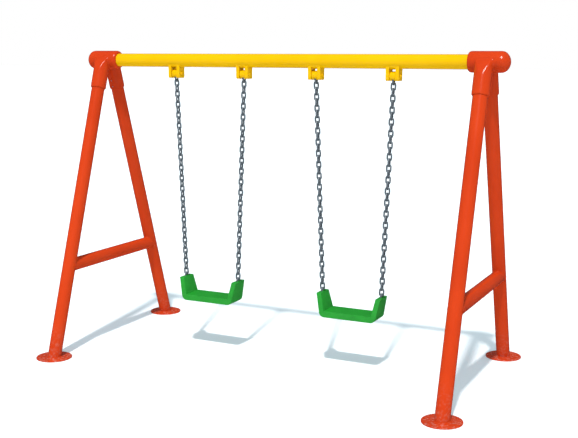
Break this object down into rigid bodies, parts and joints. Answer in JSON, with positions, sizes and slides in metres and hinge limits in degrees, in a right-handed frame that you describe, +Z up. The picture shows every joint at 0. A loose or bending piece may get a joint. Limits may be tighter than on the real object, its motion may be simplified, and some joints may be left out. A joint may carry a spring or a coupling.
{
  "type": "swing set",
  "caption": "Free-standing playground swing set: pipe A-frames and a top beam joined by corner castings, with moulded bucket-sided seats hung on steel chains from pivoting hangers.",
  "frame": {"origin": "on the ground, midway between the four base plates, under the middle of the top beam", "axes": "+X along the top beam, +Y front to back (the way the seats swing), +Z up"},
  "size_m": [3.848, 2.06, 2.621],
  "materials": {
    "red_paint": "gloss powder coat, orange red",
    "yellow_paint": "gloss powder coat, golden yellow",
    "chain_steel": "dull galvanised, slate grey",
    "green_plastic": "semi-gloss moulded plastic, mid green",
    "zinc_steel": "zinc plated",
    "bearing_steel": "ground steel"
  },
  "bodies": {
    "frame": {"top_beam": "yellow_paint", "left_corner_casting": "red_paint", "right_corner_casting": "red_paint", "left_set_screws": "zinc_steel", "right_set_screws": "zinc_steel", "left_front_leg": "red_paint", "left_back_leg": "red_paint", "right_front_leg": "red_paint", "right_back_leg": "red_paint", "left_brace": "red_paint", "right_brace": "red_paint", "left_front_base_plate": "red_paint", "left_back_base_plate": "red_paint", "right_front_base_plate": "red_paint", "right_back_base_plate": "red_paint", "left_outer_hanger": "yellow_paint", "left_inner_hanger": "yellow_paint", "right_inner_hanger": "yellow_paint", "right_outer_hanger": "yellow_paint", "left_pivot_bearings": "bearing_steel", "right_pivot_bearings": "bearing_steel"},
    "left_swing": {"left_outer_pivot_block": "yellow_paint", "left_inner_pivot_block": "yellow_paint", "left_shoulder_screws": "yellow_paint", "left_spacer_rings": "zinc_steel", "left_link_pins": "zinc_steel", "left_outer_chain": "chain_steel", "left_inner_chain": "chain_steel"},
    "left_seat_body": {"left_seat": "green_plastic", "left_seat_pins": "zinc_steel"},
    "right_swing": {"right_inner_pivot_block": "yellow_paint", "right_outer_pivot_block": "yellow_paint", "right_shoulder_screws": "yellow_paint", "right_spacer_rings": "zinc_steel", "right_link_pins": "zinc_steel", "right_inner_chain": "chain_steel", "right_outer_chain": "chain_steel"},
    "right_seat_body": {"right_seat": "green_plastic", "right_seat_pins": "zinc_steel"}
  },
  "joints": [
    {"name": "left_swing_pivot", "type": "hinge", "parent": "frame", "child": "left_swing", "pos_m": [-0.669, 0, 2.425], "axis": [1, 0, 0], "range_deg": [-60, 60]},
    {"name": "left_seat_tilt", "type": "hinge", "parent": "left_swing", "child": "left_seat_body", "pos_m": [-0.669, 0, 0.61217], "axis": [1, 0, 0], "range_deg": [-20, 20]},
    {"name": "right_swing_pivot", "type": "hinge", "parent": "frame", "child": "right_swing", "pos_m": [0.669, 0, 2.425], "axis": [1, 0, 0], "range_deg": [-60, 60]},
    {"name": "right_seat_tilt", "type": "hinge", "parent": "right_swing", "child": "right_seat_body", "pos_m": [0.669, 0, 0.61217], "axis": [1, 0, 0], "range_deg": [-20, 20]}
  ]
}
